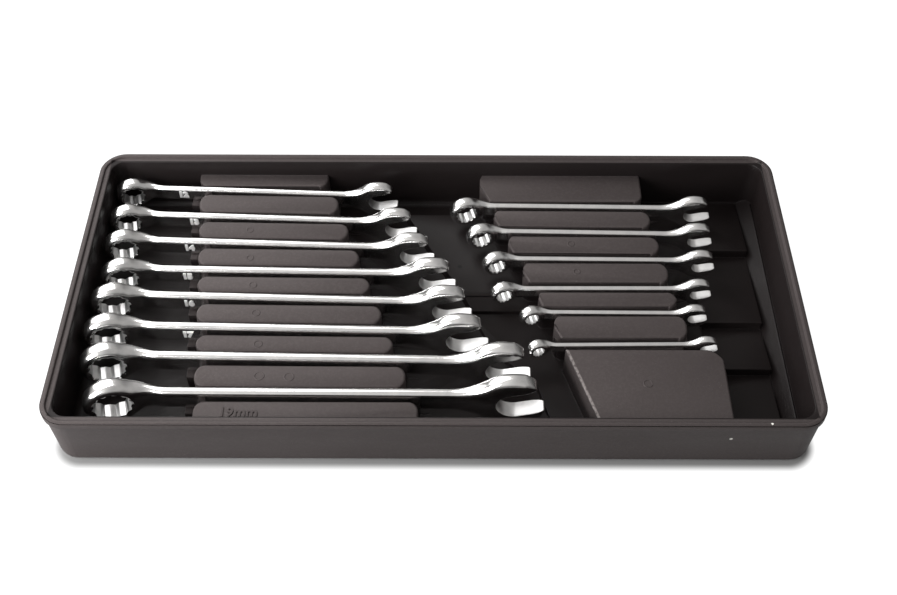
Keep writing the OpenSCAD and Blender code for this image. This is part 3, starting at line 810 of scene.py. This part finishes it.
def thickness(z, flat_points, neck_ring, neck_head):
    """Thickness of the plate: from the ring's down to the shaft's, up to the head's, and at the jaws'
    ends down to 55 per cent of it, like a quarter of an ellipse."""
    u, v = flat_points.T
    ring = smooth((u - 0.70 * z.ring_r) / (0.9 * neck_ring - 0.70 * z.ring_r + 1.0))
    out = ((u - z.throat) * math.cos(JAW_TURN) + v * math.sin(JAW_TURN)) / z.jaw
    end = np.clip((out - 0.45) / 0.55, 0, 1)
    head = smooth_head(z, u, neck_head)
    full = z.ring_t + (z.shaft_t - z.ring_t) * ring + (z.head_t - z.shaft_t) * head
    return full * (0.55 + 0.45 * np.sqrt(1 - end ** 2))


def rolled_rim(z, path, worked, rim, neck_ring, neck_head):
    """How far the roll reaches inwards from each point of the outline, and how deep it goes. Both change
    smoothly from the ring's value to the shaft's and to the head's, and to a hair in the mouth."""
    ring = smooth((path[:, 0] - 0.70 * z.ring_r) / neck_ring)
    head = smooth_head(z, path[:, 0], neck_head)

    def roll(in_ring, in_head):
        values = in_ring * (1 - ring) + 0.46 * z.shaft_t * (ring - head) + in_head * head
        values = values * (1 - worked) + 0.018 * z.s * worked
        for _ in range(SOFTENED):
            near = (np.roll(values, 1) + np.roll(values, -1) + 2 * values) / 4
            values = np.where(worked > 0, values, near)
        return values

    land = z.ring_r - np.linalg.norm(rim[0]) - 0.4
    inset, deep = roll(land, 0.40 * z.head_t), roll(0.36 * z.ring_t, 0.42 * z.head_t)
    # Towards a jaw's thin tip the rolled rim takes no more than its share of the width
    cut = worked == 1
    apart = np.hypot(path[:, :1] - path[:, 0], path[:, 1:] - path[:, 1])
    width = np.where(cut[:, None] == cut, np.inf, apart).min(1)
    share = np.where(cut, np.maximum(0.15 * width, 0.01), np.maximum(0.40 * width, 0.02))
    inset = np.minimum(inset, share)
    thick = thickness(z, path, neck_ring, neck_head)
    return inset, np.minimum(deep, np.minimum(2 * inset, 0.42 * thick))


# %% [markdown]
# Front and back are made alike: the filled face, the loops of the roll, and the star just under the
# face. Faces of the back are wound the other way, so that all of them look outwards. Two strips close
# the plate, one round the rim and one through the hole.

# %% Forging one spanner
def strip(a, b):
    """Faces between two closed loops of point numbers: a, b, the next of b, the next of a."""
    return np.stack([a, b, np.roll(b, -1), np.roll(a, -1)], 1)


def forged(z):
    """Points and faces of a whole spanner, ring centre at the origin, shaft along X, and which of its
    faces are cut by a tool after forging: those of the mouth and the ring's points."""
    path, worked, *necks = outline(z)
    normal, (star, rim) = inwards(path), star_hole(z)
    inset, deep = rolled_rim(z, path, worked, rim, *necks)
    steps = np.linspace(0, math.pi / 2, ROLL + 1)
    loops = [path + normal * (inset * (1 - math.sin(a)))[:, None] for a in steps]
    drops = [deep * (1 - math.cos(a)) for a in steps]
    flat, triangles = face_triangles(loops[0], rim, max(0.75, 0.06 * z.s))
    points, faces, edges, stars = [], [], [], []

    def add(side, plate, drop):
        """Bends points of one side of the plate and gives their numbers."""
        first = sum(len(p) for p in points)
        w = side * (thickness(z, plate, *necks) / 2 - drop)
        points.append(bent(z, plate[:, 0], w, plate[:, 1], necks[0]))
        return first + np.arange(len(plate))

    # The back is side 1 and the front side -1. In the hole a strip is read the other way round.
    other_way = [0, 3, 2, 1]
    for side in (1, -1):
        face = add(side, flat, 0.0)
        faces += face[triangles][:, ::-side].tolist()
        rolls = [face[:len(path)]] + [add(side, *level) for level in zip(loops[1:], drops[1:])]
        for outer, inner in zip(rolls[:-1], rolls[1:]):
            faces += strip(outer, inner)[:, ::-side].tolist()
        edges.append(rolls[-1])
        stars.append(add(side, star, 0.045 * z.s))
        circle = face[len(path):len(path) + len(rim)]
        faces += strip(circle, stars[-1])[:, other_way][:, ::-side].tolist()
    is_cut = [False] * len(faces) + (worked * np.roll(worked, -1) == 1).tolist() + [True] * len(star)
    faces += strip(edges[1], edges[0]).tolist()
    faces += strip(stars[1], stars[0])[:, other_way].tolist()
    return np.concatenate(points), faces, is_cut


# %% [markdown]
# ## The size figures
# The spanners from 12 to 17 show their size in small figures on the flank, near the ring. They are
# matt, so they read as short bright dashes on the dark mirror of the flank. Blender's own letters are
# turned into a mesh, and a function puts its points where they belong.

# %% Raised figures
CAPITAL = 0.73


def raised_text(words, height, depth, soft, place, bold=0.0):
    """Points and faces of raised figures. place turns flat text points into the tray's frame. A letter
    is CAPITAL times as high as its font size."""
    curve = bpy.data.curves.new("figures", "FONT")
    curve.body = words
    curve.size = height / CAPITAL
    curve.extrude = depth
    curve.bevel_depth = soft
    curve.bevel_resolution = 1
    curve.offset = bold
    curve.resolution_u = 2
    curve.align_x = "CENTER"
    holder = bpy.data.objects.new("figures", curve)
    bpy.context.scene.collection.objects.link(holder)
    mesh = as_mesh(holder)
    flat = np.zeros(len(mesh.vertices) * 3)
    mesh.vertices.foreach_get("co", flat)
    faces = [list(p.vertices) for p in mesh.polygons]
    bpy.data.objects.remove(holder)
    bpy.data.curves.remove(curve)
    bpy.data.meshes.remove(mesh)
    return place(flat.reshape(-1, 3)), faces


# %% [markdown]
# Last, each spanner is turned a little about the middle of its shaft and set down in its slot. Its three
# finishes are given out by face: polished, broached where a tool cut it, and etched on the figures.

# %% Spanners in their slots
FIGURES_AT = {12: -159.7, 13: -149.7, 14: -149.7, 15: -147.7, 16: -144.0, 17: -141.5}
FIGURE_SINK, FIGURE_LOW = 0.15, 1.6


def in_slot(points, ring_x, row_y, turn, middle_x):
    """Turns millimetre points about the middle of the shaft and puts them in the tray, in metres."""
    x, y = turned(ring_x - middle_x + points[:, 0], points[:, 1], (middle_x, row_y), turn)
    return np.stack([x, y, AXIS_Z + points[:, 2]], 1) * MM


def make_spanner(row, on_left):
    """One spanner with its figures, as a single piece in its slot."""
    s, gap, row_y, turn, length = row
    z = Sizes(s, length)
    ring_x = -INNER_X + gap + z.ring_r if on_left else INNER_X - gap - length + z.ring_r
    middle_x = ring_x + length / 2 - z.ring_r
    body_points, body_faces, is_cut = forged(z)

    def on_flank(flat):
        local = np.stack([FIGURES_AT[s] - ring_x + flat[:, 0],
                          -z.shaft_t / 2 + FIGURE_SINK - flat[:, 2], flat[:, 1] - FIGURE_LOW], 1)
        return in_slot(local, ring_x, row_y, turn, middle_x)

    parts = [(in_slot(body_points, ring_x, row_y, turn, middle_x), body_faces)]
    if s in FIGURES_AT:
        parts.append(raised_text(str(s), height=4.4, depth=0.35, soft=0.22, place=on_flank, bold=0.32))
    piece = mesh_piece("spanner_%02d_forging" % s, *join_meshes(parts), sharp_deg=32)
    register(piece, chrome_finish, "spanner_%02d" % s)
    for finish in (broached_finish, etched_finish):
        piece.data.materials.append(finish)
    finish_index = np.full(len(piece.data.polygons), 2, np.int32)
    finish_index[:len(is_cut)] = is_cut
    piece.data.polygons.foreach_set("material_index", finish_index)
    low, high = np.array(piece.bound_box).min(0) / MM, np.array(piece.bound_box).max(0) / MM
    print(piece.name, "faces", len(piece.data.polygons), "from", low.round(1), "to", high.round(1))


for rows, on_left in ((LEFT_ROWS, True), (RIGHT_ROWS, False)):
    for row in rows:
        make_spanner(row, on_left)

# %% [markdown]
# ## Marks of the mould
# The front left island shows the size that lies behind it in raised figures. The other islands carry
# small round marks, where the mould's ejector pins push the tray out: a shallow raised ring, made by
# carrying a low hump of a profile round a circle.

# %% Island marks
PIN_MARKS = ((-97.0, -61.6, 2.6), (-80.4, -62.2, 2.6), (-99.9, -39.4, 2.3), (-103.3, -17, 2.2),
             (-107.3, 4, 2.1), (-111.3, 25.1, 2.0), (-113.7, 47.8, 1.9), (81.9, 37.2, 1.9),
             (84, 15, 1.8), (118, -66, 2.4))


def ring_mark(x, y, radius, width=0.7, height=0.24, around=40, across=6):
    """A low hump with the profile of half an ellipse, carried round a circle on an island's top."""
    a = np.linspace(0, 2 * math.pi, around, endpoint=False)
    t = np.linspace(0, math.pi, across)
    r = radius + width / 2 * np.cos(t)
    up = height * np.sin(t) - 0.02
    points = np.stack([x + np.outer(np.cos(a), r), y + np.outer(np.sin(a), r),
                       ISLAND_TOP + np.broadcast_to(up, (around, across))], -1).reshape(-1, 3) * MM
    number = np.arange(around * across).reshape(around, across)
    ahead = np.roll(number, -1, axis=0)
    faces = np.stack([number[:, 1:], ahead[:, 1:], ahead[:, :-1], number[:, :-1]], -1)
    return points, faces.reshape(-1, 4).tolist()


def on_island(x, y):
    """Puts flat text points on an island's top, about a place."""
    return lambda flat: np.stack([x + flat[:, 0], y + flat[:, 1], ISLAND_TOP + flat[:, 2]], 1) * MM


marks = [raised_text("19mm", height=6.2, depth=0.38, soft=0.12, place=on_island(-106.0, -88.5), bold=0.12)]
marks += [ring_mark(*mark) for mark in PIN_MARKS]
mould_marks = mesh_piece("mould_marks", *join_meshes(marks), sharp_deg=40)
register(mould_marks, plastic_finish)
print("mould marks:", len(marks))

# %% [markdown]
# ## Floor, room and light
# The scene is a plain studio shot on white, whose white comes from the floor and the room, not from
# more light on the tray. Under the tray the floor is a plain grey, and in a band about 6 mm wide round
# its foot it fades into a glow for the camera, and a little for chrome. The grey edge of that band is a
# painted contact shadow, and the real shadow falls on it too.

# %% White floor
FLOOR_HALF = 3.0
FOOT_X, FOOT_Y = 195 * MM, 87.7 * MM
GLOW_FROM, GLOW_FULL = 12.2 * MM, 18.5 * MM


def ray(finish, kind):
    """1 where rays of one kind, Camera, Glossy or Transmission, reach the surface, and 0 for others."""
    return Value(finish, finish.node("ShaderNodeLightPath").outputs["Is %s Ray" % kind])


def floor_finish():
    """A grey floor that glows outside a rectangle with round corners, by the distance to its core."""
    floor = Finish(bpy.data.materials.new("white_floor"))
    seen = ray(floor, "Camera").most(ray(floor, "Glossy") * 0.35).most(ray(floor, "Transmission"))
    past_x, past_y = (floor.x.abs() - FOOT_X).most(0.0), (floor.y.abs() - FOOT_Y).most(0.0)
    # The glow fades out within about 6 mm of the tray's foot, which paints a contact shadow there. The
    # real shadow falls on the grey as well.
    beyond = ((past_x * past_x + past_y * past_y) ** 0.5).step(GLOW_FROM, GLOW_FULL)
    grey = floor.shader("BsdfDiffuse", Color=(0.26, 0.26, 0.26))
    glow = floor.shader("Emission", Color=(1.0, 1.0, 1.0), Strength=1.7)
    return floor.close(floor.mixed(seen * (beyond * 0.60 + 0.01), grey, glow))


corners = [(-FLOOR_HALF, -FLOOR_HALF, 0), (FLOOR_HALF, -FLOOR_HALF, 0),
           (FLOOR_HALF, FLOOR_HALF, 0), (-FLOOR_HALF, FLOOR_HALF, 0)]
floor = mesh_piece("floor", corners, [[0, 1, 2, 3]])
floor.data.materials.append(floor_finish())
floor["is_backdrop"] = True

# %% [markdown]
# The room is white to the camera. As a light it is brighter above than at the horizon, and brighter on
# the left, which gives the chrome its long light and dark bands. Two softboxes help: a broad key high
# behind the tray on the left, and a smaller fill low in front on the left.

# %% Room and softboxes
room = Finish(bpy.data.worlds.new("white_room"), "Generated")
level = room.z.step(0.00, 0.65, 0.10, 0.76) * room.x.step(0.45, -0.35, 0.52, 1.02)
lit = room.shader("Background", Color=(1.0, 0.98, 0.96), Strength=level)
white = room.shader("Background", Color=(1.0, 1.0, 1.0), Strength=1.0)
to_camera = ray(room, "Camera").most(ray(room, "Transmission"))
bpy.context.scene.world = room.close(room.mixed(to_camera, lit, white), "ShaderNodeOutputWorld")


def softbox(name, place, target, size, power):
    """A square area light that looks at a point."""
    lamp = bpy.data.lights.new(name, "AREA")
    lamp.shape, lamp.size, lamp.energy = "SQUARE", size, power
    holder = bpy.data.objects.new(name, lamp)
    holder.location = place
    holder.rotation_euler = (Vector(target) - Vector(place)).to_track_quat("-Z", "Y").to_euler()
    bpy.context.scene.collection.objects.link(holder)
    print(name, "of", power, "watts,", size, "metres wide")


softbox("key_softbox", (-0.50, 0.42, 0.62), (-0.10, 0, 0.02), 0.80, 5.0)
softbox("fill_softbox", (-0.62, -0.40, 0.32), (-0.18, -0.08, 0.02), 0.50, 8.5)

# %% [markdown]
# ## Camera
# The camera stands in front of the tray and looks down at 50.7 degrees. Its place and its focal length
# come from fitting the rim's corners, whose size is known, to their places in the picture. Its three
# angles, in radians, are turned into the directions that it looks ahead, down and right.

# %% Camera
PICTURE_W, FOCAL_PX, SENSOR = 897, 1200.0, 36.0
CAMERA_AT = (0.0072369, -0.44863205, 0.56998878)
PITCH, YAW, TILT = 0.88487, -0.0012, -0.00401
camera_data = bpy.data.cameras.new("camera")
camera_data.sensor_fit = "HORIZONTAL"
camera_data.sensor_width = SENSOR
camera_data.lens = SENSOR * FOCAL_PX / PICTURE_W
camera_data.clip_start, camera_data.clip_end = 0.02, 20
camera = bpy.data.objects.new("camera", camera_data)
ahead = Vector((0, math.cos(PITCH), -math.sin(PITCH)))
down = Vector((0, -math.sin(PITCH), -math.cos(PITCH)))
right = Vector((1, 0, 0))
spin = Matrix.Rotation(YAW, 3, "Z")
ahead, down, right = spin @ ahead, spin @ down, spin @ right
right_tilted = math.cos(TILT) * right + math.sin(TILT) * down
down_tilted = -math.sin(TILT) * right + math.cos(TILT) * down
facing = Matrix((right_tilted, -down_tilted, -ahead)).transposed().to_4x4()
camera.matrix_world = Matrix.Translation(CAMERA_AT) @ facing
bpy.context.scene.collection.objects.link(camera)
bpy.context.scene.camera = camera
bpy.context.scene.view_settings.view_transform = "Standard"
print("camera lens", round(camera_data.lens, 2), "mm at", CAMERA_AT)

# %% Measure and finish
final_box = [[float(v) for v in corner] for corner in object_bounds()]
print("visual box in millimetres", [[round(v / MM, 2) for v in corner] for corner in final_box])
